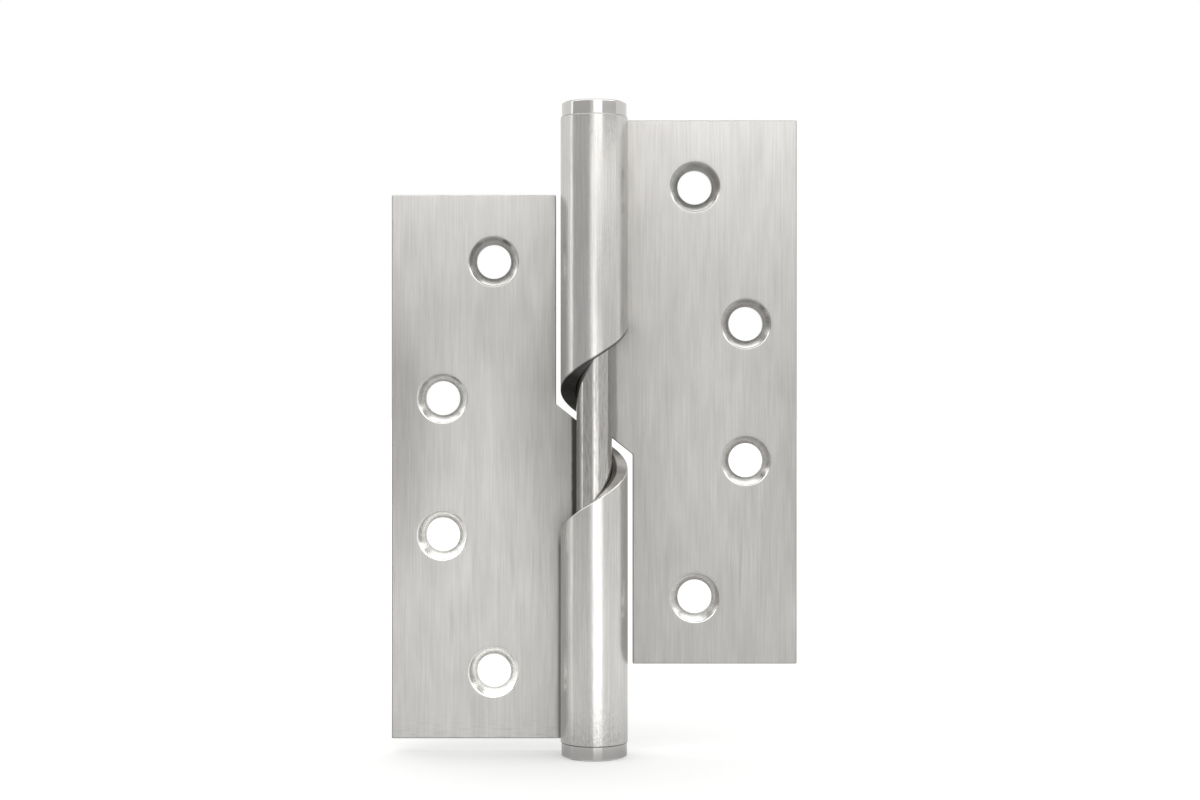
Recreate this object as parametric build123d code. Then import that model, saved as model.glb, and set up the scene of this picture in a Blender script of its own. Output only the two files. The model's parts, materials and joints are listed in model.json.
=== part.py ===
from build123d import *
import math
import os

# Rising butt hinge, opened flat. Millimetres, +Z up along the pin.
# The origin is on the pin's axis at the middle of the hinge's height.
# The frame leaf lies to -X, the door leaf to +X, and the countersunk fronts face -Y.

# Leaves
leaf_height = 102.0
leaf_reach = 38.0  # pin axis to a leaf's outer edge
sheet = 2.9
edge_break = 0.2  # bevel along the blanked edges of a leaf

# Pin and knuckles
pin_diameter = 6.6
pin_clearance = 0.05  # radial, pin to knuckle bore
pin_chamfer = 0.6
seam_gap = 0.2  # end of the rolled sheet to the flat of its own leaf

# Helical cam between the knuckles
cam_lead = 24.0  # rise for a whole turn of the door leaf
cam_lift = 2.0  # the door leaf is held this far above its cam
knuckle_clearance = 0.95  # side of a leaf's notch to the other leaf's knuckle

# Screw holes, two columns in each leaf, with equal steps in height
hole_diameter = 6.4
countersink_diameter = 9.3
countersink_angle = 90.0
hole_step = 25.7
near_column = 18.9  # pin axis to the outermost holes in height
far_column = 28.5  # pin axis to the two middle holes

# Turned caps that close the knuckles
cap_diameter = 12.2
cap_head = 2.6
cap_rounding = 0.7
spigot_length = 5.0
spigot_chamfer = 0.5
pin_end_play = 0.5  # left between the pin and the top cap when the hinge is shut

# Rolled section: the leaf's back is level with the back of its knuckle
bore_radius = pin_diameter / 2 + pin_clearance
knuckle_radius = bore_radius + sheet
neutral_radius = bore_radius + sheet / 2
seam_angle = math.degrees(math.asin((bore_radius - seam_gap) / knuckle_radius))
roll_start = 90.0  # where the flat leaf meets the roll, at the back
roll_end = -180.0 - seam_angle

# Heights on the frame leaf. The roots of the two cams meet when the leaves are shut and level.
half_turn_rise = cam_lead / 2
leaf_offset = half_turn_rise + cam_lift
frame_bottom = -(leaf_height + leaf_offset) / 2
frame_top = frame_bottom + leaf_height
cam_root = frame_bottom + leaf_height / 2 + cam_lead / 4
cam_slope = cam_lead / (2 * math.pi * neutral_radius)
notch_side = knuckle_radius + knuckle_clearance

# Pin between the bottom cap and the place that the top cap's spigot reaches when shut
pin_foot = frame_bottom + spigot_length
pin_head = -pin_foot - half_turn_rise - pin_end_play


def flat_leaf():
    """The flat of the frame leaf, with the sloping edge that leads into its cam."""
    outline = Polyline(
        (0, frame_bottom),
        (0, cam_root),
        (-notch_side, cam_root + cam_slope * notch_side),
        (-notch_side, frame_top),
        (-leaf_reach, frame_top),
        (-leaf_reach, frame_bottom),
        close=True,
    )
    front = Plane.XZ.offset(-bore_radius) * make_face(outline)
    return extrude(front, amount=-sheet)


def rolled_wall():
    """The knuckle's rolled sheet, as long as its longest side."""

    def on_circle(radius, angle):
        return Vector(radius, 0).rotate(Axis.Z, angle)

    middle = (roll_start + roll_end) / 2
    outer = ThreePointArc(*(on_circle(knuckle_radius, a) for a in (roll_start, middle, roll_end)))
    inner = ThreePointArc(*(on_circle(bore_radius, a) for a in (roll_end, middle, roll_start)))
    lip = Line(outer @ 1, inner @ 0)
    root = Line(inner @ 1, outer @ 0)
    section = make_face([outer, lip, inner, root])
    return extrude(Pos(0, 0, frame_bottom) * section, amount=cam_root - frame_bottom)


def above_cam():
    """All that lies above the helical cam, round the whole roll."""
    overrun = 20.0  # degrees past each end of the roll
    start = roll_end - overrun
    turn = roll_start + overrun - start
    start_height = cam_root - cam_lead * (roll_start - start) / 360
    rise = cam_lead * turn / 360
    inner = Helix(cam_lead, rise, bore_radius / 2)
    outer = Helix(cam_lead, rise, knuckle_radius + sheet)
    cam = Face.make_surface_from_curves(inner, outer)
    return Pos(0, 0, start_height) * Rot(0, 0, start) * Solid.extrude(cam, (0, 0, cam_lead))


def screw_hole(across, height):
    """A countersunk hole through the sheet, its mouth on the leaf's front."""
    hole_radius = hole_diameter / 2
    mouth_radius = countersink_diameter / 2
    depth = (mouth_radius - hole_radius) / math.tan(math.radians(countersink_angle / 2))
    section = Polyline(
        (0, -sheet),
        (mouth_radius + sheet * (mouth_radius - hole_radius) / depth, -sheet),
        (hole_radius, depth),
        (hole_radius, 2 * sheet),
        (0, 2 * sheet),
        close=True,
    )
    return Pos(across, bore_radius, height) * revolve(make_face(section), Axis.Y)


def sheet_edges(leaf):
    """The edges along the sheet's two surfaces, without the lines where the flat runs on into the roll."""
    along = leaf.edges().filter_by(lambda edge: edge.length > 1.1 * sheet)
    tangent = along.filter_by_position(Axis.X, -seam_gap / 2, seam_gap / 2).filter_by(Axis.Z)
    return along - tangent


def make_leaf():
    """One leaf with its knuckle below, as the frame leaf stands."""
    leaf = flat_leaf() + (rolled_wall() - above_cam())
    leaf = chamfer(sheet_edges(leaf), edge_break)
    middle = frame_bottom + leaf_height / 2
    for side in (-1, 1):
        leaf -= screw_hole(-near_column, middle + side * 1.5 * hole_step)
        leaf -= screw_hole(-far_column, middle + side * 0.5 * hole_step)
    return leaf


def make_cap():
    """A turned cap with its head below and its spigot up, seated under the frame knuckle."""
    head_radius = cap_diameter / 2
    profile = Polyline(
        (0, -cap_head),
        (head_radius, -cap_head),
        (head_radius, 0),
        (bore_radius, 0),
        (bore_radius, spigot_length),
        (0, spigot_length),
        close=True,
    )
    section = make_face(profile)
    rim = section.vertices().sort_by(Axis.X)[-2:].sort_by(Axis.Y)[0]
    section = fillet(rim, cap_rounding)
    tip = section.vertices().group_by(Axis.Y)[-1].sort_by(Axis.X)[-1]
    section = chamfer(tip, spigot_chamfer)
    return Pos(0, 0, frame_bottom) * revolve(Plane.XZ * section, Axis.Z)


def make_pin():
    """A plain round pin with chamfered ends, standing on the bottom cap."""
    length = pin_head - pin_foot
    bar = Pos(0, 0, pin_foot + length / 2) * Cylinder(pin_diameter / 2, length)
    return chamfer(bar.edges().filter_by(GeomType.CIRCLE), pin_chamfer)


# The door leaf and its cap are the same pieces, turned end for end about the line of sight.
end_for_end = Rot(0, 180, 0)

leaf = make_leaf()
cap = make_cap()
nodes = {
    "frame_leaf": leaf,
    "door_leaf": end_for_end * leaf,
    "pin": make_pin(),
    "bottom_cap": cap,
    "top_cap": end_for_end * cap,
}

os.makedirs("parts", exist_ok=True)
for name, solid in nodes.items():
    export_step(solid, f"parts/{name}.step")
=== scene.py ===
import json
import math
from itertools import pairwise

import bmesh
import bpy
from bpy.props import FloatProperty, FloatVectorProperty, IntProperty, PointerProperty
from mathutils import Matrix, Vector


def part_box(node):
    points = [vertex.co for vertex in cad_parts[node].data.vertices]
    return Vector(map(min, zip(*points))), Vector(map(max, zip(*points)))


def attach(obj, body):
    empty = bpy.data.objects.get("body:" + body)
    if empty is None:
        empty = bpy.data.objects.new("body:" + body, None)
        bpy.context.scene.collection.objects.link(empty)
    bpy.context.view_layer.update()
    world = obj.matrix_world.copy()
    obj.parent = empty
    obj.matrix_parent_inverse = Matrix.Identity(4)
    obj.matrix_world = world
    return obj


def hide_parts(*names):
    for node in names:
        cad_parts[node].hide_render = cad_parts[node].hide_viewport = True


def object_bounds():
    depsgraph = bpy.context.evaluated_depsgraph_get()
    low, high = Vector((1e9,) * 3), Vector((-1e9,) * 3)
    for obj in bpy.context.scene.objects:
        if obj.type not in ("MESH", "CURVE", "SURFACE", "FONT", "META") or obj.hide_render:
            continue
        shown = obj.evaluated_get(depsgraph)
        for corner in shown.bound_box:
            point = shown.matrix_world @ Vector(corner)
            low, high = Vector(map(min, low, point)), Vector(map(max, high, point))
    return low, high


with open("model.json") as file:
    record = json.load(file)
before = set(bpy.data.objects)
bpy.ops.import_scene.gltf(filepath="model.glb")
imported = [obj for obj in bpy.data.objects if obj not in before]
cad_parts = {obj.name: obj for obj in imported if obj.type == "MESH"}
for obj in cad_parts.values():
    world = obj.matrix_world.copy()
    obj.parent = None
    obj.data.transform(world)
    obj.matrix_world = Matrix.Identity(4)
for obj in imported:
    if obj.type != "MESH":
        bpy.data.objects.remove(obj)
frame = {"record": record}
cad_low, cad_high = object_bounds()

bl_info = {
    "name": "Rising Butt Hinge",
    "version": (1, 0, 0),
    "blender": (4, 5, 0),
    "location": "3D View > Sidebar > Hinge",
    "description": "Models a brushed steel rising butt hinge and stands it in a light tent",
    "category": "Add Mesh",
}

# All lengths are metres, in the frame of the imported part: +Z up along the pin, fronts towards -Y.
MM = 0.001

# What the frame gives
LEAF_LOW, LEAF_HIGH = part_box("frame_leaf")
PIN_LOW, PIN_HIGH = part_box("pin")
CAP_LOW, CAP_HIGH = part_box("bottom_cap")
MOUNTS = {mount["name"]: mount for mount in frame["record"]["mounts"]}
RISE_PER_RADIAN = frame["record"]["behaviour"]["couplings"][0]["ratio"]

# Height of the upper cam's lip, straight in front of the pin
LIP_IN_FRONT = math.pi / 2 * RISE_PER_RADIAN - (LEAF_LOW.z + LEAF_HIGH.z) / 2

# The door leaf and the top cap are the frame leaf and the bottom cap, turned end for end
END_FOR_END = Matrix.Rotation(math.pi, 4, "Y")

# Places of a leaf's metals in its list of materials
BRUSHED, SHEARED, DRILLED = range(3)

# How far a face's normal lies along the sheet's depth: less than this in a cut wall, more than that in a flat
WALL_LEAN, FLAT_LEAN = 0.2, 0.99

# Closer than this counts as the same place
SAME_PLACE = 1e-4 * MM

# The photograph that the camera is matched to
PHOTO_WIDTH, PHOTO_HEIGHT = 1200, 800
HINGE_CENTRE_PX = (594.2, 429.6)
PIXELS_PER_METRE = 5380.0  # in the plane of the pin's axis


def linear(hex_colour):
    """An sRGB hex colour as linear red, green and blue."""
    shares = (int(hex_colour[start:start + 2], 16) / 255 for start in (1, 3, 5))
    return tuple(share / 12.92 if share <= 0.04045 else ((share + 0.055) / 1.055) ** 2.4 for share in shares)


def length(name, description, default):
    """A length that a user may change, in metres."""
    return FloatProperty(name=name, description=description, default=default, unit="LENGTH", precision=5)


def colour(name, description, hex_colour):
    """A colour that a user may change, given as sRGB hex."""
    return FloatVectorProperty(
        name=name, description=description, default=linear(hex_colour), subtype="COLOR", min=0, max=1
    )


class HingeSizes(bpy.types.PropertyGroup):
    """Sizes of the hinge's own pieces"""

    leaf_reach: length("Leaf reach", "Pin axis to a leaf's outer edge", -LEAF_LOW.x)
    leaf_bottom: length("Leaf bottom", "Lower edge of the frame leaf", LEAF_LOW.z)
    leaf_top: length("Leaf top", "Upper edge of the frame leaf", LEAF_HIGH.z)
    knuckle_radius: length("Knuckle radius", "Pin axis to the outside of a knuckle", LEAF_HIGH.x)
    sheet: length("Sheet", "Thickness of the leaves", 2.9 * MM)
    edge_break: length("Edge break", "Rounding along the blanked edges", 0.2 * MM)
    cam_lead: length("Cam lead", "Rise of the cam in a whole turn", 2 * math.pi * RISE_PER_RADIAN)
    notch_side: length("Notch side", "Pin axis to the side of a leaf's notch", 7.2 * MM)
    seam_gap: length("Seam gap", "End of the roll to the flat of its own leaf", 0.2 * MM)
    countersink: length("Countersink", "Diameter of a screw hole's mouth", 9.3 * MM)
    mouth_rounding: length("Mouth rounding", "Rounding of a countersink's outer rim", 0.2 * MM)
    rim_break: length("Rim break", "Rounding of the other turned rims", 0.12 * MM)
    pin_radius: length("Pin radius", "Radius of the pin", PIN_HIGH.x)
    pin_chamfer: length("Pin chamfer", "Chamfer of the pin's ends", 0.6 * MM)
    cap_radius: length("Cap radius", "Radius of a cap's head", CAP_HIGH.x)
    cap_rounding: length("Cap rounding", "Rounding of a cap's outer rim", 0.3 * MM)
    spigot_chamfer: length("Spigot chamfer", "Chamfer of the spigot inside the knuckle", 0.5 * MM)
    countersink_angle: FloatProperty(
        name="Countersink angle", description="Whole angle of the cone", default=math.pi / 2, subtype="ANGLE"
    )
    roll_steps: IntProperty(name="Roll steps", description="Facets round a knuckle", default=120, min=24)
    turn_steps: IntProperty(name="Turn steps", description="Facets round a turned piece", default=96, min=24)


class HingeFinishes(bpy.types.PropertyGroup):
    """Colours of the hinge's metals"""

    sheet_steel: colour("Sheet steel", "Brushed flats of the leaves", "#CFCDCA")
    rolled_steel: colour("Rolled steel", "Polished fronts of the knuckles", "#CAC8C5")
    # Darker tone of the flats, for their painted shade and for the scuffs along the frame leaf's foot
    shaded_steel: colour("Dull steel", "Where handling has dulled the flats", "#ABA9A6")
    cut_steel: colour("Cut steel", "Sheared edges and cam ends", "#B6B4B1")
    drilled_steel: colour("Drilled steel", "Cones of the upper screw holes", "#A8A7A4")
    # Painted light on the cones of the lower screw holes
    lit_cone_steel: colour("Bright steel", "Cones of the lower screw holes", "#E6E5E2")
    pin_steel: colour("Pin steel", "Ground pin", "#B7B5B2")
    scuffed_steel: colour("Scuffed steel", "Scuffs on the pin", "#8A8885")
    cap_steel: colour("Cap steel", "Turned caps", "#C4C2BF")
    # Colour of the painted shade: in the bores, beside the pin, in the crease, along the cam's lip and on
    # edges that don't face up
    shade_colour: colour("Grease", "Old grease in the bores and beside the pin", "#3C3A37")


class HingeStudio(bpy.types.PropertyGroup):
    """Camera and light tent"""

    camera_distance: length("Camera distance", "Lens to the pin's axis", 0.35)
    tent_radius: length("Tent radius", "Pin axis to the cloth of the light tent", 0.9)
    tent_depth: length("Tent depth", "Middle of the hinge to the tent's ground", 0.5)
    floor: colour("Floor", "Paper under the hinge", "#F2F2F0")


def add_node(tree, kind, inputs=None, **settings):
    """Adds a node with its settings. An input is a value, or another node's output to link."""
    node = tree.nodes.new(kind)
    for name, value in settings.items():
        setattr(node, name, value)
    for socket, value in (inputs or {}).items():
        if isinstance(value, bpy.types.NodeSocket):
            tree.links.new(value, node.inputs[socket])
        else:
            node.inputs[socket].default_value = value
    return node


def new_material(name):
    """An empty node material and its node tree."""
    material = bpy.data.materials.new(name)
    material.use_nodes = True
    tree = material.node_tree
    tree.nodes.clear()
    return material, tree


def opaque(rgb):
    """A colour with full alpha, as colour sockets take it."""
    return (*rgb, 1.0)


def grain(tree, place, width, run, detail=2.0):
    """Noise in an object's own place, with grains of a width and a run along the hinge's height."""
    stretched = add_node(
        tree, "ShaderNodeMapping", {"Vector": place, "Scale": (1 / width, 1 / width, 1 / run)}
    ).outputs["Vector"]
    return add_node(
        tree, "ShaderNodeTexNoise", {"Vector": stretched, "Scale": 1.0, "Detail": detail}
    ).outputs["Fac"]


def graded(tree, reading, levels):
    """A value that follows a reading through levels, given at readings from the lowest up."""
    readings = list(levels)
    low, high, most = readings[0], readings[-1], max(levels.values())
    share = add_node(tree, "ShaderNodeMapRange", {"Value": reading, 1: low, 2: high}).outputs["Result"]
    ramp = add_node(tree, "ShaderNodeValToRGB", {"Fac": share})
    stops = ramp.color_ramp.elements
    while len(stops) < len(levels):
        stops.new(0.5)
    for stop, (at, level) in zip(stops, levels.items()):
        stop.position = (at - low) / (high - low)
        stop.color = opaque([level / most] * 3)
    return add_node(
        tree, "ShaderNodeMath", {0: ramp.outputs["Color"], 1: most}, operation="MULTIPLY"
    ).outputs[0]


def door_side(tree, place):
    """0 on the frame leaf's side of the pin and 1 on the door leaf's."""
    across = add_node(tree, "ShaderNodeSeparateXYZ", {"Vector": place}).outputs["X"]
    return add_node(
        tree, "ShaderNodeMapRange", {"Value": across, 1: -1 * MM, 2: 1 * MM}
    ).outputs["Result"]


def facing_up(tree):
    """How far a surface faces up: 1 is up, 0 is level and -1 is down."""
    normal = add_node(tree, "ShaderNodeNewGeometry").outputs["Normal"]
    return add_node(tree, "ShaderNodeSeparateXYZ", {"Vector": normal}).outputs["Z"]


def shaded_near_axis(tree, place, metal, shade_colour, spread, most):
    """A metal's colour, darkened by painted shade within a distance of the pin's axis."""
    level = add_node(tree, "ShaderNodeVectorMath", {0: place, 1: (1, 1, 0)}, operation="MULTIPLY").outputs[0]
    from_axis = add_node(tree, "ShaderNodeVectorMath", {0: level}, operation="LENGTH").outputs["Value"]
    uneven = grain(tree, place, 0.6 * MM, 1.5 * MM)
    reach = add_node(
        tree, "ShaderNodeMath", {0: uneven, 1: 0.2 * MM, 2: from_axis}, operation="MULTIPLY_ADD"
    ).outputs[0]
    beyond = add_node(tree, "ShaderNodeMath", {0: reach, 1: spread}, operation="SUBTRACT").outputs[0]
    amount = add_node(
        tree, "ShaderNodeMapRange", {"Value": beyond, 1: 0.0, 2: 0.3 * MM, 3: most, 4: 0.0}
    ).outputs["Result"]
    return add_node(
        tree, "ShaderNodeMix", {"Factor": amount, 6: metal, 7: opaque(shade_colour)}, data_type="RGBA"
    ).outputs[2]


def painted_shade_and_scuffs(tree, place, on_door):
    """How far the flats are darkened: painted shade in the frame leaf's upper half and on most of the door
    leaf, little on the frame leaf's lower half, and painted light at the leaves' tops.
    """
    across, _, height = add_node(tree, "ShaderNodeSeparateXYZ", {"Vector": place}).outputs
    frame_leaf = graded(tree, height, {
        -58 * MM: 0.1, -32 * MM: 0.0, -10 * MM: 0.03, 4 * MM: 0.26, 22 * MM: 0.46, 44 * MM: 0.1,
    })
    door_leaf = graded(tree, height, {
        -44 * MM: 0.62, -18 * MM: 0.55, 4 * MM: 0.38, 26 * MM: 0.52, 58 * MM: 0.1,
    })
    darkened = add_node(tree, "ShaderNodeMix", {"Factor": on_door, 2: frame_leaf, 3: door_leaf}).outputs[0]

    # Painted shade at the sides, deeper on the frame leaf
    leaf_middle = abs(MOUNTS["frame_back"]["pos_m"][0])
    from_pin = add_node(tree, "ShaderNodeMath", {0: across}, operation="ABSOLUTE").outputs[0]
    off_middle = add_node(
        tree, "ShaderNodeMath", {0: from_pin, 1: leaf_middle}, operation="SUBTRACT"
    ).outputs[0]
    off_middle = add_node(tree, "ShaderNodeMath", {0: off_middle}, operation="ABSOLUTE").outputs[0]
    at_sides = add_node(
        tree, "ShaderNodeMapRange", {"Value": off_middle, 1: 4 * MM, 2: 15.5 * MM}
    ).outputs["Result"]
    side_shade = graded(tree, height, {-32 * MM: 0.1, -8 * MM: 1.0, 8 * MM: 1.0, 24 * MM: 0.1})
    strength = add_node(tree, "ShaderNodeMapRange", {"Value": on_door, 3: 0.95, 4: 0.36}).outputs["Result"]
    side_shade = add_node(tree, "ShaderNodeMath", {0: side_shade, 1: strength}, operation="MULTIPLY").outputs[0]
    darkened = add_node(
        tree, "ShaderNodeMath", {0: at_sides, 1: side_shade, 2: darkened}, operation="MULTIPLY_ADD"
    ).outputs[0]

    # The frame leaf's lower edge is scuffed sideways
    scuffs = grain(tree, place, 3 * MM, 0.4 * MM, 3.0)
    scuffs = add_node(tree, "ShaderNodeMapRange", {"Value": scuffs, 1: 0.5, 2: 0.75}).outputs["Result"]
    at_foot = add_node(
        tree, "ShaderNodeMapRange", {"Value": height, 1: -57 * MM, 2: -53 * MM, 3: 0.45, 4: 0.0}
    ).outputs["Result"]
    return add_node(
        tree, "ShaderNodeMath", {0: scuffs, 1: at_foot, 2: darkened}, operation="MULTIPLY_ADD"
    ).outputs[0]


def painted_crease_shade(tree, place, flat, on_door):
    """How much painted shade lies along the crease between the front of the frame leaf and its knuckle."""
    across, depth, height = add_node(tree, "ShaderNodeSeparateXYZ", {"Vector": place}).outputs
    from_pin = add_node(tree, "ShaderNodeMath", {0: across}, operation="ABSOLUTE").outputs[0]
    painted_shade = add_node(
        tree, "ShaderNodeMapRange", {"Value": from_pin, 1: 6.3 * MM, 2: 7.1 * MM, 3: 0.85, 4: 0.0}
    ).outputs["Result"]
    beside_roll = add_node(
        tree, "ShaderNodeMapRange", {"Value": height, 1: -22 * MM, 2: -19 * MM, 3: 1.0, 4: 0.0}
    ).outputs["Result"]
    in_front = add_node(
        tree, "ShaderNodeMapRange", {"Value": depth, 1: 3.5 * MM, 2: 3.9 * MM, 3: flat, 4: 0.0}
    ).outputs["Result"]
    on_frame = add_node(tree, "ShaderNodeMath", {0: 1.0, 1: on_door}, operation="SUBTRACT").outputs[0]
    for share in (beside_roll, in_front, on_frame):
        painted_shade = add_node(tree, "ShaderNodeMath", {0: painted_shade, 1: share}, operation="MULTIPLY").outputs[0]
    return painted_shade


def painted_lip_shade(tree, place, flat):
    """How much painted shade lies along the lip of the upper cam, all along its helix."""
    across, depth, height = add_node(tree, "ShaderNodeSeparateXYZ", {"Vector": place}).outputs
    forward = add_node(tree, "ShaderNodeMath", {0: depth, 1: -1.0}, operation="MULTIPLY").outputs[0]
    round_pin = add_node(tree, "ShaderNodeMath", {0: across, 1: forward}, operation="ARCTAN2").outputs[0]
    lip = add_node(
        tree, "ShaderNodeMath", {0: round_pin, 1: RISE_PER_RADIAN, 2: LIP_IN_FRONT}, operation="MULTIPLY_ADD"
    ).outputs[0]
    over_lip = add_node(tree, "ShaderNodeMath", {0: height, 1: lip}, operation="SUBTRACT").outputs[0]
    lip_shade = graded(tree, over_lip, {-1.0 * MM: 0.0, -0.9 * MM: 0.85, 0.3 * MM: 0.85, 0.65 * MM: 0.0})
    on_knuckle = add_node(tree, "ShaderNodeMath", {0: 1.0, 1: flat}, operation="SUBTRACT").outputs[0]
    return add_node(tree, "ShaderNodeMath", {0: lip_shade, 1: on_knuckle}, operation="MULTIPLY").outputs[0]


def brushed_stainless_sheet(finishes):
    """Cold-rolled stainless sheet, belt-brushed along its height: satin, with highlights smeared sideways.
    The knuckle was polished after rolling, so its front mirrors the studio more sharply than the flats do."""
    material, tree = new_material("brushed_stainless_sheet")
    place = add_node(tree, "ShaderNodeTexCoord").outputs["Object"]
    depth = add_node(tree, "ShaderNodeSeparateXYZ", {"Vector": place}).outputs["Y"]
    on_door = door_side(tree, place)

    # The knuckle's front stands forward of the flats, and its polish fades round its sides
    flat = add_node(tree, "ShaderNodeMapRange", {"Value": depth, 1: 1.5 * MM, 2: 3.0 * MM}).outputs["Result"]
    polish = add_node(
        tree, "ShaderNodeMapRange", {"Value": depth, 1: -4.2 * MM, 2: -2.6 * MM, 3: 0.16, 4: 0.3}
    ).outputs["Result"]
    satin = add_node(tree, "ShaderNodeMix", {"Factor": flat, 2: polish, 3: 0.47}).outputs[0]

    # The flats darkened by painted shade and, at the frame leaf's foot, by scuffs
    shaded_sheet = add_node(
        tree, "ShaderNodeMix",
        {
            "Factor": painted_shade_and_scuffs(tree, place, on_door),
            6: opaque(finishes.sheet_steel),
            7: opaque(finishes.shaded_steel),
        },
        data_type="RGBA",
    ).outputs[2]
    steel = add_node(
        tree, "ShaderNodeMix", {"Factor": flat, 6: opaque(finishes.rolled_steel), 7: shaded_sheet}, data_type="RGBA"
    ).outputs[2]

    # Brush lines, far finer on the real sheet, drawn wide enough to show
    lines = grain(tree, place, 0.2 * MM, 10 * MM, 3.0)
    blotches = grain(tree, place, 2.2 * MM, 9 * MM, 3.0)
    streaks = add_node(tree, "ShaderNodeMix", {"Factor": 0.45, 2: lines, 3: blotches}).outputs[0]
    streaked = add_node(
        tree, "ShaderNodeMapRange", {"Value": streaks, 1: 0.35, 2: 0.65, 3: 1.02, 4: 0.87}
    ).outputs["Result"]
    steel = add_node(
        tree, "ShaderNodeMix", {"Factor": 1.0, 6: steel, 7: streaked}, data_type="RGBA", blend_type="MULTIPLY"
    ).outputs[2]
    uneven = add_node(
        tree, "ShaderNodeMapRange", {"Value": lines, 1: 0.3, 2: 0.7, 3: 0.93, 4: 1.07}
    ).outputs["Result"]
    roughness = add_node(tree, "ShaderNodeMath", {0: satin, 1: uneven}, operation="MULTIPLY").outputs[0]

    # Painted shade in the crease beside the frame leaf's knuckle and along the upper cam's lip
    for painted_shade in (painted_crease_shade(tree, place, flat, on_door), painted_lip_shade(tree, place, flat)):
        steel = add_node(
            tree, "ShaderNodeMix", {"Factor": painted_shade, 6: steel, 7: opaque(finishes.shade_colour)}, data_type="RGBA"
        ).outputs[2]

    # Painted shade fills the bores, and reaches further on the upper cam's lip, which faces down
    spread = add_node(
        tree, "ShaderNodeMapRange", {"Value": facing_up(tree), 1: -0.25, 2: -0.05, 3: 6.8 * MM, 4: 5.35 * MM}
    ).outputs["Result"]

    # On the flats the painted shade is deepest on the frame leaf's side of the pin
    beside_pin = add_node(tree, "ShaderNodeMapRange", {"Value": on_door, 3: 0.92, 4: 0.4}).outputs["Result"]
    most = add_node(tree, "ShaderNodeMix", {"Factor": flat, 2: 0.88, 3: beside_pin}).outputs[0]

    # The brush lines run up, so they smear highlights along the level direction of the surface
    normal = add_node(tree, "ShaderNodeNewGeometry").outputs["Normal"]
    sideways = add_node(
        tree, "ShaderNodeVectorMath", {0: normal, 1: (0, 0, 1)}, operation="CROSS_PRODUCT"
    ).outputs[0]

    # The sheet is slightly rippled, which breaks up what it mirrors
    ripple = grain(tree, place, 0.5 * MM, 1.2 * MM, 3.0)
    rippled = add_node(
        tree, "ShaderNodeBump", {"Strength": 0.35, "Distance": 0.03 * MM, "Height": ripple}
    ).outputs["Normal"]
    shader = add_node(
        tree, "ShaderNodeBsdfPrincipled",
        {
            "Base Color": shaded_near_axis(tree, place, steel, finishes.shade_colour, spread, most),
            "Metallic": 1.0,
            "Roughness": roughness,
            "Anisotropic": 0.8,
            "Tangent": sideways,
            "Normal": rippled,
        },
    )
    add_node(tree, "ShaderNodeOutputMaterial", {"Surface": shader.outputs[0]})
    return material


def sheared_stainless_edge(finishes):
    """Stainless as the press tool left it: duller and darker than the brushed faces, and finely torn."""
    material, tree = new_material("sheared_stainless_edge")
    place = add_node(tree, "ShaderNodeTexCoord").outputs["Object"]
    facing = facing_up(tree)

    # Painted shade on the edges that don't face up
    painted_shade = add_node(
        tree, "ShaderNodeMapRange", {"Value": facing, 1: 0.1, 2: 0.4, 3: 0.35, 4: 0.0}
    ).outputs["Result"]
    steel = add_node(
        tree, "ShaderNodeMix",
        {"Factor": painted_shade, 6: opaque(finishes.cut_steel), 7: opaque(finishes.shade_colour)}, data_type="RGBA",
    ).outputs[2]

    # Painted shade covers the whole of the upper cam, which faces down, and only the inside of the lower one
    spread = add_node(
        tree, "ShaderNodeMapRange", {"Value": facing, 1: -0.2, 2: 0.3, 3: 6.3 * MM, 4: 4.2 * MM}
    ).outputs["Result"]
    tears = grain(tree, place, 0.5 * MM, 0.5 * MM, 4.0)
    roughness = add_node(
        tree, "ShaderNodeMapRange", {"Value": tears, 1: 0.3, 2: 0.7, 3: 0.34, 4: 0.5}
    ).outputs["Result"]
    torn = add_node(
        tree, "ShaderNodeBump", {"Strength": 0.4, "Distance": 0.012 * MM, "Height": tears}
    ).outputs["Normal"]
    shader = add_node(
        tree, "ShaderNodeBsdfPrincipled",
        {
            "Base Color": shaded_near_axis(tree, place, steel, finishes.shade_colour, spread, 0.88),
            "Metallic": 1.0,
            "Roughness": roughness,
            "Normal": torn,
        },
    )
    add_node(tree, "ShaderNodeOutputMaterial", {"Surface": shader.outputs[0]})
    return material


def drilled_stainless(finishes):
    """Stainless cut by a countersink: brighter than a sheared edge, with the chatter of the cutter."""
    material, tree = new_material("drilled_stainless")
    place = add_node(tree, "ShaderNodeTexCoord").outputs["Object"]
    chatter = grain(tree, place, 0.8 * MM, 0.8 * MM, 3.0)
    roughness = add_node(
        tree, "ShaderNodeMapRange", {"Value": chatter, 1: 0.3, 2: 0.7, 3: 0.2, 4: 0.27}
    ).outputs["Result"]
    uneven = add_node(
        tree, "ShaderNodeBump", {"Strength": 0.12, "Distance": 0.012 * MM, "Height": chatter}
    ).outputs["Normal"]

    # Painted light: the lower a hole, the brighter its cone, and the door leaf's cones get half as much
    height = add_node(tree, "ShaderNodeSeparateXYZ", {"Vector": place}).outputs["Z"]
    cone_light = graded(tree, height, {-45 * MM: 1.0, -14 * MM: 0.8, 16 * MM: 0.25, 40 * MM: 0.0})
    share = add_node(
        tree, "ShaderNodeMapRange", {"Value": door_side(tree, place), 3: 1.0, 4: 0.5}
    ).outputs["Result"]
    cone_light = add_node(tree, "ShaderNodeMath", {0: cone_light, 1: share}, operation="MULTIPLY").outputs[0]
    steel = add_node(
        tree, "ShaderNodeMix",
        {"Factor": cone_light, 6: opaque(finishes.drilled_steel), 7: opaque(finishes.lit_cone_steel)},
        data_type="RGBA",
    ).outputs[2]
    shader = add_node(
        tree, "ShaderNodeBsdfPrincipled",
        {"Base Color": steel, "Metallic": 1.0, "Roughness": roughness, "Normal": uneven},
    )
    add_node(tree, "ShaderNodeOutputMaterial", {"Surface": shader.outputs[0]})
    return material


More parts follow.
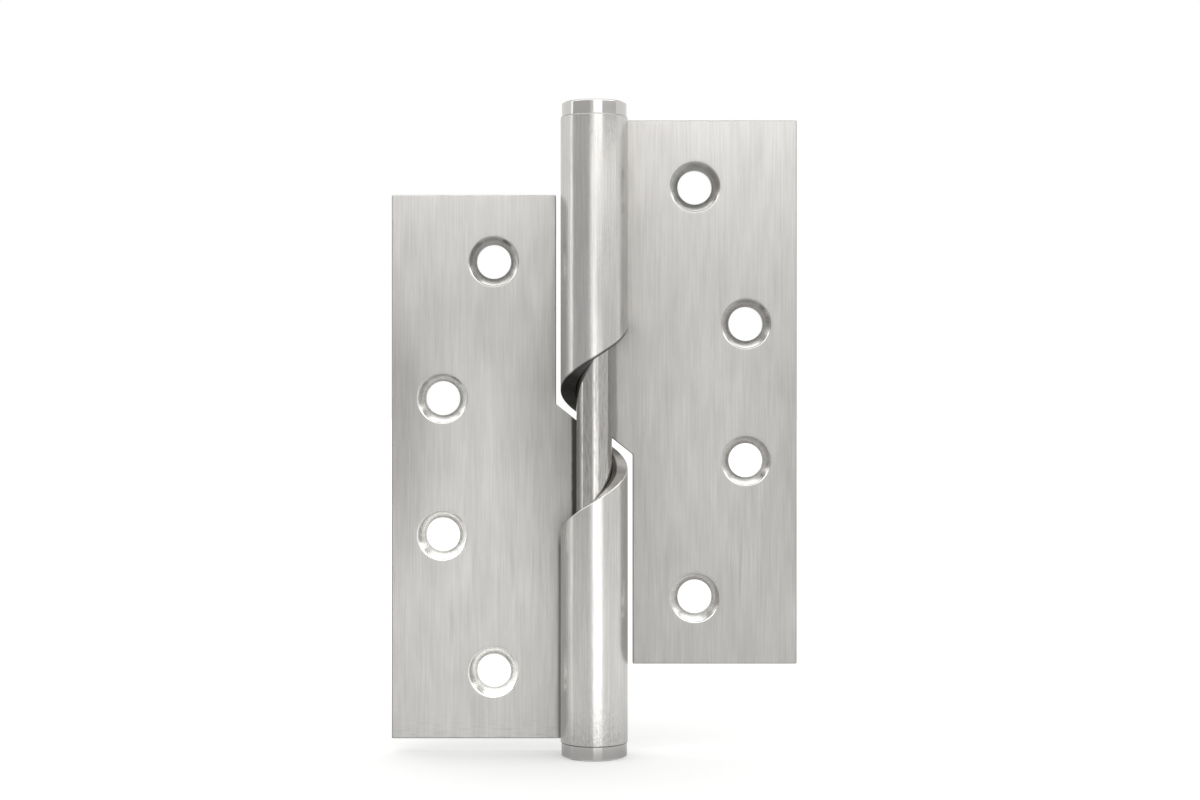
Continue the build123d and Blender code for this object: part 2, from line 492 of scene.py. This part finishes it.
def ground_stainless_bar(finishes):
    """Centreless-ground stainless bar: smooth and bright, with scuffs where the knuckles have slid on it."""
    material, tree = new_material("ground_stainless_bar")
    place = add_node(tree, "ShaderNodeTexCoord").outputs["Object"]
    scuffs = grain(tree, place, 0.35 * MM, 2.5 * MM, 4.0)
    roughness = add_node(
        tree, "ShaderNodeMapRange", {"Value": scuffs, 1: 0.3, 2: 0.7, 3: 0.11, 4: 0.21}
    ).outputs["Result"]
    scuffed = add_node(
        tree, "ShaderNodeMapRange", {"Value": scuffs, 1: 0.42, 2: 0.72, 3: 0.0, 4: 0.6}
    ).outputs["Result"]
    steel = add_node(
        tree, "ShaderNodeMix",
        {"Factor": scuffed, 6: opaque(finishes.pin_steel), 7: opaque(finishes.scuffed_steel)},
        data_type="RGBA",
    ).outputs[2]
    shader = add_node(
        tree, "ShaderNodeBsdfPrincipled", {"Base Color": steel, "Metallic": 1.0, "Roughness": roughness}
    )
    add_node(tree, "ShaderNodeOutputMaterial", {"Surface": shader.outputs[0]})
    return material


def turned_stainless(finishes):
    """Stainless turned on a lathe and left bright: nearly a mirror, with fine rings on its end."""
    material, tree = new_material("turned_stainless")
    place = add_node(tree, "ShaderNodeTexCoord").outputs["Object"]
    ring_step = 0.25 * MM
    rings = add_node(
        tree, "ShaderNodeTexWave",
        {"Vector": place, "Scale": 0.05 / ring_step, "Distortion": 0.4, "Detail": 1.0},
        wave_type="RINGS", rings_direction="Z",
    ).outputs["Fac"]
    roughness = add_node(
        tree, "ShaderNodeMapRange", {"Value": rings, 3: 0.1, 4: 0.14}
    ).outputs["Result"]
    turned = add_node(
        tree, "ShaderNodeBump", {"Strength": 0.3, "Distance": 0.004 * MM, "Height": rings}
    ).outputs["Normal"]
    shader = add_node(
        tree, "ShaderNodeBsdfPrincipled",
        {
            "Base Color": opaque(finishes.cap_steel),
            "Metallic": 1.0,
            "Roughness": roughness,
            "Normal": turned,
        },
    )
    add_node(tree, "ShaderNodeOutputMaterial", {"Surface": shader.outputs[0]})
    return material


def new_object(name, bm, *materials):
    """A smooth-shaded object with its place in its mesh, and creases where its faces meet sharply."""
    mesh = bpy.data.meshes.new(name)
    bm.to_mesh(mesh)
    bm.free()
    for material in materials:
        mesh.materials.append(material)
    mesh.shade_smooth()
    mesh.set_sharp_from_angle(angle=math.radians(40))
    made = bpy.data.objects.new(name, mesh)
    made.modifiers.new("flat_faces", "WEIGHTED_NORMAL").keep_sharp = True
    bpy.context.scene.collection.objects.link(made)
    return made


def stand_for(piece, node, body):
    """Lets a piece take the place of a node of the frame and ride on its body."""
    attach(piece, body)
    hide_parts(node)


def once(elements):
    """Each element once, in the order in which they come."""
    return list(dict.fromkeys(elements))


def cut(bm, faces, point, direction):
    """Cuts these faces along a plane, without parting them."""
    edges = once(edge for face in faces for edge in face.edges)
    corners = once(vert for face in faces for vert in face.verts)
    bmesh.ops.bisect_plane(
        bm, geom=[*faces, *edges, *corners], dist=SAME_PLACE, plane_co=point, plane_no=direction
    )


def leaf_blank(sizes, roll_length):
    """The flat blank of the frame leaf with rounded edges, and its strip for the knuckle cut into facets."""
    bore_radius = sizes.knuckle_radius - sizes.sheet
    slope = sizes.cam_lead / (2 * math.pi * (bore_radius + sizes.sheet / 2))
    root = (sizes.leaf_bottom + sizes.leaf_top) / 2 + sizes.cam_lead / 4
    corners = (
        (-sizes.leaf_reach, sizes.leaf_bottom),
        (-sizes.leaf_reach, sizes.leaf_top),
        (-sizes.notch_side, sizes.leaf_top),
        (-sizes.notch_side, root + slope * sizes.notch_side),
        (roll_length, root - slope * roll_length),
        (roll_length, sizes.leaf_bottom),
    )
    bm = bmesh.new()
    front = bm.faces.new([bm.verts.new((x, bore_radius, z)) for x, z in corners])
    extruded = bmesh.ops.extrude_face_region(bm, geom=[front])["geom"]
    back = [vert for vert in extruded if isinstance(vert, bmesh.types.BMVert)]
    bmesh.ops.translate(bm, verts=back, vec=(0, sizes.sheet, 0))
    bmesh.ops.recalc_face_normals(bm, faces=bm.faces)
    bmesh.ops.bevel(
        bm, geom=bm.edges[:], offset=sizes.edge_break, offset_type="OFFSET", segments=3, profile=0.5,
        affect="EDGES", material=-1, clamp_overlap=True,
    )

    # The cut walls are sheared, and so are the roundings that don't face up; those that face up take the
    # brighter brushed metal, which paints light on the up-facing edges
    bm.normal_update()
    for face in bm.faces:
        lean = abs(face.normal.y)
        rounded_below = lean < FLAT_LEAN and face.normal.z < 0.2
        face.material_index = SHEARED if lean < WALL_LEAN or rounded_below else BRUSHED
    for step in range(sizes.roll_steps):
        cut(bm, bm.faces[:], (roll_length * step / sizes.roll_steps, 0, 0), (1, 0, 0))
    return bm


def turn(bm, sizes, outline, place=Matrix()):
    """Turns an outline about the Z axis of a place, and returns the new corners.
    Each point of the outline is a radius, a height and the rounding there."""
    others = set(bm.verts)
    points = [bm.verts.new((radius, 0, height)) for radius, height, _ in outline]
    for pair in pairwise(points):
        bm.edges.new(pair)
    for point, (_, _, rounding) in zip(points, outline):
        if rounding:
            bmesh.ops.bevel(
                bm, geom=[point], offset=rounding, offset_type="OFFSET", segments=4, profile=0.5,
                affect="VERTICES", material=-1,
            )
    profile = [vert for vert in bm.verts if vert not in others]
    edges = once(edge for vert in profile for edge in vert.link_edges)
    bmesh.ops.spin(
        bm, geom=[*profile, *edges], cent=(0, 0, 0), axis=(0, 0, 1), angle=2 * math.pi,
        steps=sizes.turn_steps, use_merge=True,
    )
    turned = [vert for vert in bm.verts if vert not in others]
    bmesh.ops.remove_doubles(bm, verts=turned, dist=SAME_PLACE)
    turned = [vert for vert in bm.verts if vert not in others]
    bmesh.ops.transform(bm, matrix=place, verts=turned)
    return turned


def sink_screw_hole(bm, sizes, across, height, hole_radius):
    """Opens a square window through the flat and bridges it to a turned, countersunk hole."""
    mouth_radius = sizes.countersink / 2
    throat = (mouth_radius - hole_radius) / math.tan(sizes.countersink_angle / 2)
    front = sizes.knuckle_radius - sizes.sheet

    # A flat collar round each rim keeps the bridge off the roundings
    collar = 3 * sizes.mouth_rounding
    reach = mouth_radius + 2 * collar

    def flats(below, above):
        centres = ((face, face.calc_center_median()) for face in bm.faces)
        return [face for face, at in centres if at.x < -sizes.notch_side and below < at.z < above]

    for side in (-reach, reach):
        cut(bm, flats(sizes.leaf_bottom, sizes.leaf_top), (0, 0, height + side), (0, 0, 1))
    for side in (-reach, reach):
        cut(bm, flats(height - reach, height + reach), (across + side, 0, 0), (1, 0, 0))
    row = flats(height - reach, height + reach)
    windows = [face for face in row if abs(face.calc_center_median().x - across) < reach]
    frames = [face.edges[:] for face in sorted(windows, key=lambda face: face.calc_center_median().y)]
    bmesh.ops.delete(bm, geom=windows, context="FACES_ONLY")

    into_sheet = Matrix.Translation((across, front, height)) @ Matrix.Rotation(-math.pi / 2, 4, "X")
    wall = turn(bm, sizes, (
        (mouth_radius + collar, 0, 0),
        (mouth_radius, 0, sizes.mouth_rounding),
        (hole_radius, throat, sizes.rim_break),
        (hole_radius, sizes.sheet, sizes.rim_break),
        (hole_radius + collar, sizes.sheet, 0),
    ), into_sheet)

    # The collar is brushed like the flats, the straight wall is sheared, and the cone is drilled
    bm.normal_update()
    for face in once(face for vert in wall for face in vert.link_faces):
        lean = abs(face.normal.y)
        face.material_index = BRUSHED if lean > FLAT_LEAN else SHEARED if lean < WALL_LEAN else DRILLED

    open_edges = once(edge for vert in wall for edge in vert.link_edges if edge.is_boundary)
    middle = front + sizes.sheet / 2
    for window, side in zip(frames, (-1, 1)):
        rim = [edge for edge in open_edges if side * (edge.verts[0].co.y - middle) > 0]
        corners = once(vert for edge in rim for vert in edge.verts)
        # Bridging needs a depth between its loops, so the rim stands off the sheet meanwhile
        off_sheet = Vector((0, side * sizes.sheet, 0))
        bmesh.ops.translate(bm, verts=corners, vec=off_sheet)
        bmesh.ops.bridge_loops(bm, edges=window + rim)
        bmesh.ops.translate(bm, verts=corners, vec=-off_sheet)


def roll_knuckle(bm, neutral_radius):
    """Rolls the blank's strip round the pin, front face inwards."""
    for vert in bm.verts:
        along, radius = vert.co.x, vert.co.y
        if along > 0:
            angle = along / neutral_radius
            vert.co.x = radius * math.sin(angle)
            vert.co.y = radius * math.cos(angle)


def make_leaf(sizes):
    """The frame leaf: its blank, four countersunk holes, and the strip rolled into a knuckle."""
    bore_radius = sizes.knuckle_radius - sizes.sheet
    neutral_radius = bore_radius + sizes.sheet / 2

    # The roll goes three quarters round the pin, and on to its seam
    three_quarters = 1.5 * math.pi
    seam_angle = math.asin((bore_radius - sizes.seam_gap) / sizes.knuckle_radius)
    roll_length = (three_quarters + seam_angle) * neutral_radius
    bm = leaf_blank(sizes, roll_length)
    for name in ("frame_near_screws", "frame_far_screws"):
        across, _, middle = MOUNTS[name]["pos_m"]
        dims = MOUNTS[name]["dims"]
        for side in (-0.5, 0.5):
            height = middle + side * dims["spacing_y_mm"] * MM
            sink_screw_hole(bm, sizes, across, height, dims["hole_r_mm"] * MM)
    roll_knuckle(bm, neutral_radius)
    bmesh.ops.recalc_face_normals(bm, faces=bm.faces)
    return bm


def turned_piece(sizes, outline):
    """A solid turned about the pin's axis."""
    bm = bmesh.new()
    turn(bm, sizes, outline)
    bmesh.ops.recalc_face_normals(bm, faces=bm.faces)
    return bm


class HINGE_OT_leaves(bpy.types.Operator):
    """Model the frame leaf and the door leaf"""

    bl_idname = "hinge.leaves"
    bl_label = "Leaves"

    def execute(self, context):
        sizes, finishes = context.scene.hinge_sizes, context.scene.hinge_finishes
        metals = (
            brushed_stainless_sheet(finishes),
            sheared_stainless_edge(finishes),
            drilled_stainless(finishes),
        )
        stand_for(new_object("brushed_frame_leaf", make_leaf(sizes), *metals),
                  "frame_leaf", "frame_leaf")
        door_leaf = make_leaf(sizes)
        bmesh.ops.transform(door_leaf, matrix=END_FOR_END, verts=door_leaf.verts)
        stand_for(new_object("brushed_door_leaf", door_leaf, *metals),
                  "door_leaf", "door_leaf")
        return {"FINISHED"}


class HINGE_OT_pin(bpy.types.Operator):
    """Model the pin"""

    bl_idname = "hinge.pin"
    bl_label = "Pin"

    def execute(self, context):
        sizes, finishes = context.scene.hinge_sizes, context.scene.hinge_finishes
        radius, chamfer = sizes.pin_radius, sizes.pin_chamfer
        bm = turned_piece(sizes, (
            (0, PIN_LOW.z, 0),
            (radius - chamfer, PIN_LOW.z, sizes.rim_break),
            (radius, PIN_LOW.z + chamfer, sizes.rim_break),
            (radius, PIN_HIGH.z - chamfer, sizes.rim_break),
            (radius - chamfer, PIN_HIGH.z, sizes.rim_break),
            (0, PIN_HIGH.z, 0),
        ))
        stand_for(new_object("ground_pin", bm, ground_stainless_bar(finishes)), "pin", "pin")
        return {"FINISHED"}


class HINGE_OT_caps(bpy.types.Operator):
    """Model the two turned caps"""

    bl_idname = "hinge.caps"
    bl_label = "Caps"

    def make_cap(self, sizes):
        """The bottom cap, with its head under the frame knuckle and its spigot in the bore."""
        seat, tip = sizes.leaf_bottom, CAP_HIGH.z
        bore_radius = sizes.knuckle_radius - sizes.sheet
        return turned_piece(sizes, (
            (0, CAP_LOW.z, 0),
            (sizes.cap_radius, CAP_LOW.z, sizes.cap_rounding),
            (sizes.cap_radius, seat, 0),
            (bore_radius, seat, 0),
            (bore_radius, tip - sizes.spigot_chamfer, 0),
            (bore_radius - sizes.spigot_chamfer, tip, 0),
            (0, tip, 0),
        ))

    def execute(self, context):
        sizes, finishes = context.scene.hinge_sizes, context.scene.hinge_finishes
        metal = turned_stainless(finishes)
        stand_for(new_object("turned_bottom_cap", self.make_cap(sizes), metal),
                  "bottom_cap", "frame_leaf")
        top_cap = self.make_cap(sizes)
        bmesh.ops.transform(top_cap, matrix=END_FOR_END, verts=top_cap.verts)
        stand_for(new_object("turned_top_cap", top_cap, metal), "top_cap", "door_leaf")
        return {"FINISHED"}


class HINGE_OT_stage(bpy.types.Operator):
    """Stand the hinge on paper in a light tent, in front of the camera"""

    bl_idname = "hinge.stage"
    bl_label = "Stage"

    # Heights at which each panel of the tent's cloth has a brightness of its own
    heights = (-0.205, 0.0, 0.07, 0.18, 0.191, 0.21, 0.3, 0.5)

    # The panels: from and to, in degrees right of the camera, and the brightness at those heights
    panels = (
        ("key_left", -13, -3, (1.0, 1.1, 1.3, 1.6, 0.65, 0.65, 1.8, 5.2)),
        ("key", -3, 7, (2.4, 2.6, 1.7, 1.65, 1.9, 1.9, 1.9, 5.2)),
        ("key_right", 7, 28, (2.3, 1.7, 0.9, 1.75, 2.1, 2.1, 2.2, 5.2)),
        ("right", 28, 82, (1.25, 0.85, 0.88, 1.35, 0.6, 0.6, 2.1, 5.2)),
        ("right_back", 82, 165, (1.2, 0.95, 1.0, 1.05, 1.05, 1.05, 1.1, 1.4)),
        ("left_flag", -80, -13, (0.98, 0.6, 0.59, 0.62, 0.62, 0.62, 0.75, 5.2)),
        ("left_slit", -87, -80, (1.25, 1.85, 2.0, 2.0, 1.9, 1.9, 2.0, 5.2)),
        ("left_back", -165, -87, (0.9, 0.85, 0.95, 1.05, 1.05, 1.05, 1.1, 1.4)),
        ("back_key", 165, 195, (1.2, 1.4, 1.5, 1.6, 1.6, 1.6, 1.6, 1.8)),
    )

    # Below and above those heights all panels are alike
    foot_levels = {-0.3: 1.0, -0.235: 0.42}
    top_levels = {0.65: 0.7}

    layer_step = 0.01  # between cloths that lie on one another
    floor_half_width = 6.0
    matt_level = 0.43  # light from all round on matt surfaces
    paper_glow = 0.4  # what the camera sees of the paper besides the light on it
    skylight_strength = 1.35
    skylight_spread = math.radians(140)

    def tent_cloth(self, name, levels):
        """Translucent cloth lit from outside, seen only in the metal's reflections."""
        material, tree = new_material("tent_cloth_" + name)
        place = add_node(tree, "ShaderNodeTexCoord").outputs["Object"]
        height = add_node(tree, "ShaderNodeSeparateXYZ", {"Vector": place}).outputs["Z"]

        # Rays that have left a matt surface don't see the cloth
        bounces = add_node(tree, "ShaderNodeLightPath").outputs["Diffuse Depth"]
        seen = add_node(tree, "ShaderNodeMath", {0: bounces, 1: 0.5}, operation="LESS_THAN").outputs[0]
        strength = add_node(
            tree, "ShaderNodeMath", {0: seen, 1: graded(tree, height, levels)}, operation="MULTIPLY"
        ).outputs[0]
        glow = add_node(tree, "ShaderNodeEmission", {"Strength": strength})
        add_node(tree, "ShaderNodeOutputMaterial", {"Surface": glow.outputs[0]})
        return material

    def hang(self, name, bm, levels):
        """Puts up a cloth of the tent, with its brightness by height, where only reflections see it."""
        cloth = new_object("tent_" + name, bm, self.tent_cloth(name, levels))
        cloth.visible_camera = False
        cloth.visible_diffuse = False
        cloth.visible_transmission = False
        cloth.visible_shadow = False

    def hang_panels(self, studio):
        """Arcs of cloth round the pin's axis, from the tent's ground to its roof."""
        for name, start, end, levels in self.panels:
            bm = bmesh.new()
            low = bm.verts.new((0, -studio.tent_radius, -studio.tent_depth))
            high = bm.verts.new((0, -studio.tent_radius, studio.tent_radius))
            edge = bm.edges.new((low, high))
            bmesh.ops.rotate(
                bm, verts=bm.verts, cent=(0, 0, 0), matrix=Matrix.Rotation(math.radians(start), 3, "Z")
            )
            bmesh.ops.spin(
                bm, geom=[low, high, edge], cent=(0, 0, 0), axis=(0, 0, 1),
                angle=math.radians(end - start), steps=24,
            )
            self.hang(name, bm, {**self.foot_levels, **dict(zip(self.heights, levels)), **self.top_levels})

    def lay_ovals(self, studio):
        """A level roof with a lamp below it, and a level ground, darker under the hinge and to its left."""
        roof, ground = studio.tent_radius, -studio.tent_depth
        whole_tent = (studio.tent_radius, studio.tent_radius)
        ovals = (
            ("roof", (0, 0, roof), whole_tent, 0.7),
            ("overhead_lamp", (0, -0.1, 0.62), (0.7, 0.1), 3.2),
            ("ground", (0, 0, ground), whole_tent, 0.9),
            ("under_hinge", (0, 0, ground + self.layer_step), (0.4, 0.13), 0.4),
            ("dark_table", (-0.5, 0, ground + 2 * self.layer_step), (0.24, 0.24), 0.08),
        )
        for name, middle, half_widths, level in ovals:
            bm = bmesh.new()
            bmesh.ops.create_circle(
                bm, cap_ends=True, radius=1, segments=64,
                matrix=Matrix.Translation(middle) @ Matrix.Diagonal((*half_widths, 1, 1)),
            )
            self.hang(name, bm, {ground: level, roof: level})

    def lay_floor(self, studio):
        """Pale paper, white where no shadow falls."""
        material, tree = new_material("matt_paper")
        seen = add_node(tree, "ShaderNodeLightPath").outputs["Is Camera Ray"]
        paper = add_node(tree, "ShaderNodeBsdfDiffuse", {"Color": opaque(studio.floor)})
        lit_through = add_node(
            tree, "ShaderNodeMath", {0: seen, 1: self.paper_glow}, operation="MULTIPLY"
        ).outputs[0]
        glow = add_node(tree, "ShaderNodeEmission", {"Strength": lit_through})
        both = add_node(tree, "ShaderNodeAddShader", {0: paper.outputs[0], 1: glow.outputs[0]})
        add_node(tree, "ShaderNodeOutputMaterial", {"Surface": both.outputs[0]})
        bm = bmesh.new()
        bmesh.ops.create_grid(
            bm, x_segments=1, y_segments=1, size=self.floor_half_width,
            matrix=Matrix.Translation((0, 0, cad_low.z)),
        )
        floor = new_object("floor", bm, material)
        floor.visible_glossy = False

    def light_world(self, scene):
        """White round the stage, as the camera and the metal see it, and a plain level for matt surfaces."""
        world = bpy.data.worlds.new("white_studio")
        scene.world = world
        world.use_nodes = True
        tree = world.node_tree
        tree.nodes.clear()
        path = add_node(tree, "ShaderNodeLightPath").outputs
        seen = path["Is Camera Ray"]
        for ray in ("Is Glossy Ray", "Is Transmission Ray"):
            seen = add_node(tree, "ShaderNodeMath", {0: seen, 1: path[ray]}, operation="MAXIMUM").outputs[0]
        strength = add_node(
            tree, "ShaderNodeMapRange", {"Value": seen, 3: self.matt_level, 4: 1.0}
        ).outputs["Result"]
        white = add_node(tree, "ShaderNodeBackground", {"Color": (1, 1, 1, 1), "Strength": strength})
        add_node(tree, "ShaderNodeOutputWorld", {"Surface": white.outputs[0]})

    def hang_skylight(self, scene):
        """A wide light overhead, even over the whole paper, that the metal doesn't mirror."""
        light = bpy.data.lights.new("skylight", "SUN")
        light.energy = self.skylight_strength
        light.angle = self.skylight_spread
        lamp = bpy.data.objects.new("skylight", light)
        lamp.visible_glossy = False
        scene.collection.objects.link(lamp)

    def set_camera(self, scene, studio):
        """A level camera in front, placed so that the hinge falls where the photograph has it."""
        data = bpy.data.cameras.new("camera")
        data.sensor_width = 36.0  # in millimetres, as is the lens
        data.lens = data.sensor_width * PIXELS_PER_METRE * studio.camera_distance / PHOTO_WIDTH
        data.clip_start, data.clip_end = 0.01, 20
        camera = bpy.data.objects.new("camera", data)
        camera.location = (
            (PHOTO_WIDTH / 2 - HINGE_CENTRE_PX[0]) / PIXELS_PER_METRE,
            -studio.camera_distance,
            (HINGE_CENTRE_PX[1] - PHOTO_HEIGHT / 2) / PIXELS_PER_METRE,
        )
        camera.rotation_euler = (math.pi / 2, 0, 0)
        scene.collection.objects.link(camera)
        scene.camera = camera

    def execute(self, context):
        scene, studio = context.scene, context.scene.hinge_studio
        scene.view_settings.view_transform = "Standard"
        self.light_world(scene)
        self.lay_floor(studio)
        self.hang_panels(studio)
        self.lay_ovals(studio)
        self.hang_skylight(scene)
        self.set_camera(scene, studio)
        return {"FINISHED"}


class HINGE_PT_sidebar(bpy.types.Panel):
    """The hinge's pieces, sizes and finishes"""

    bl_idname = "HINGE_PT_sidebar"
    bl_label = "Rising Butt Hinge"
    bl_space_type = "VIEW_3D"
    bl_region_type = "UI"
    bl_category = "Hinge"

    def draw(self, context):
        layout = self.layout
        for operator in OPERATORS:
            layout.operator(operator.bl_idname)
        for group in (context.scene.hinge_sizes, context.scene.hinge_finishes, context.scene.hinge_studio):
            box = layout.box()
            for name in group.__annotations__:
                box.prop(group, name)


GROUPS = {"hinge_sizes": HingeSizes, "hinge_finishes": HingeFinishes, "hinge_studio": HingeStudio}
OPERATORS = (HINGE_OT_leaves, HINGE_OT_pin, HINGE_OT_caps, HINGE_OT_stage)


def register():
    for cls in (*GROUPS.values(), *OPERATORS, HINGE_PT_sidebar):
        bpy.utils.register_class(cls)
    for name, group in GROUPS.items():
        setattr(bpy.types.Scene, name, PointerProperty(type=group))


def unregister():
    for name in GROUPS:
        delattr(bpy.types.Scene, name)
    for cls in (HINGE_PT_sidebar, *reversed(OPERATORS), *GROUPS.values()):
        bpy.utils.unregister_class(cls)


def main():
    """Makes every piece, then the stage."""
    register()
    bpy.ops.hinge.leaves()
    bpy.ops.hinge.pin()
    bpy.ops.hinge.caps()
    bpy.ops.hinge.stage()


if __name__ == "__main__":
    main()
